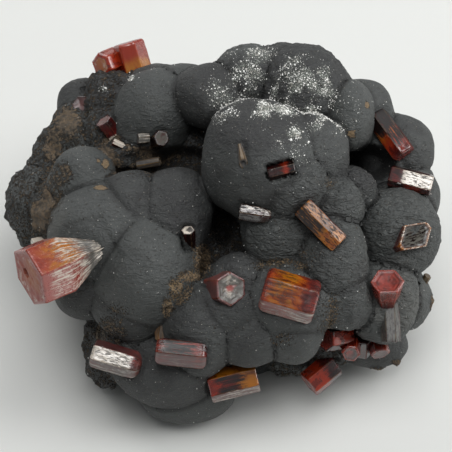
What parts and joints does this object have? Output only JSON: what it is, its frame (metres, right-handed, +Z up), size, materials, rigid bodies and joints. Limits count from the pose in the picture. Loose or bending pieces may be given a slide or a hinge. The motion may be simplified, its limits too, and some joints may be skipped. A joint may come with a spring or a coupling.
{
  "type": "vanadinite specimen on goethite matrix",
  "caption": "Lump of dark botryoidal goethite with a flat underside, set with hexagonal red and amber vanadinite crystals.",
  "frame": {"origin": "on the flat underside, below the middle of the specimen's bounding box", "axes": "+Z up, +X to the right of the display side, the display side faces -Y and up"},
  "size_m": [0.062, 0.0538, 0.0415],
  "materials": {
    "goethite": "matte black-grey, wrinkled, dusted with fine bright druse",
    "vanadinite_red": "resinous, striated lengthwise, deep red",
    "vanadinite_amber": "resinous, amber to deep red within one crystal",
    "vanadinite_coated": "dull grey-purple coating over red",
    "vanadinite_tan": "earthy tan, dull"
  },
  "bodies": {
    "root": {"goethite_matrix": "goethite", "large_left": "vanadinite_red", "tiny_left": "vanadinite_red", "shoulder_red": "vanadinite_red", "shoulder_slender": "vanadinite_red", "sunken_red": "vanadinite_red", "right_lying": "vanadinite_red", "right_pair": "vanadinite_red", "base_cluster": "vanadinite_red", "base_hanging": "vanadinite_red", "lower_middle": "vanadinite_red", "lower_left": "vanadinite_red", "amber_centre": "vanadinite_amber", "lower_right": "vanadinite_amber", "right_upper": "vanadinite_amber", "slanted": "vanadinite_amber", "top_left_twins": "vanadinite_amber", "facing": "vanadinite_coated", "ghost_end": "vanadinite_coated", "hollow_stub": "vanadinite_coated", "right_stub": "vanadinite_coated", "shoulder_facing": "vanadinite_coated", "shoulder_pale": "vanadinite_coated", "silver_bullet": "vanadinite_coated", "brown_block": "vanadinite_tan", "ledge_tan": "vanadinite_tan", "right_tiny": "vanadinite_tan", "tan_stick": "vanadinite_tan"}
  },
  "joints": []
}
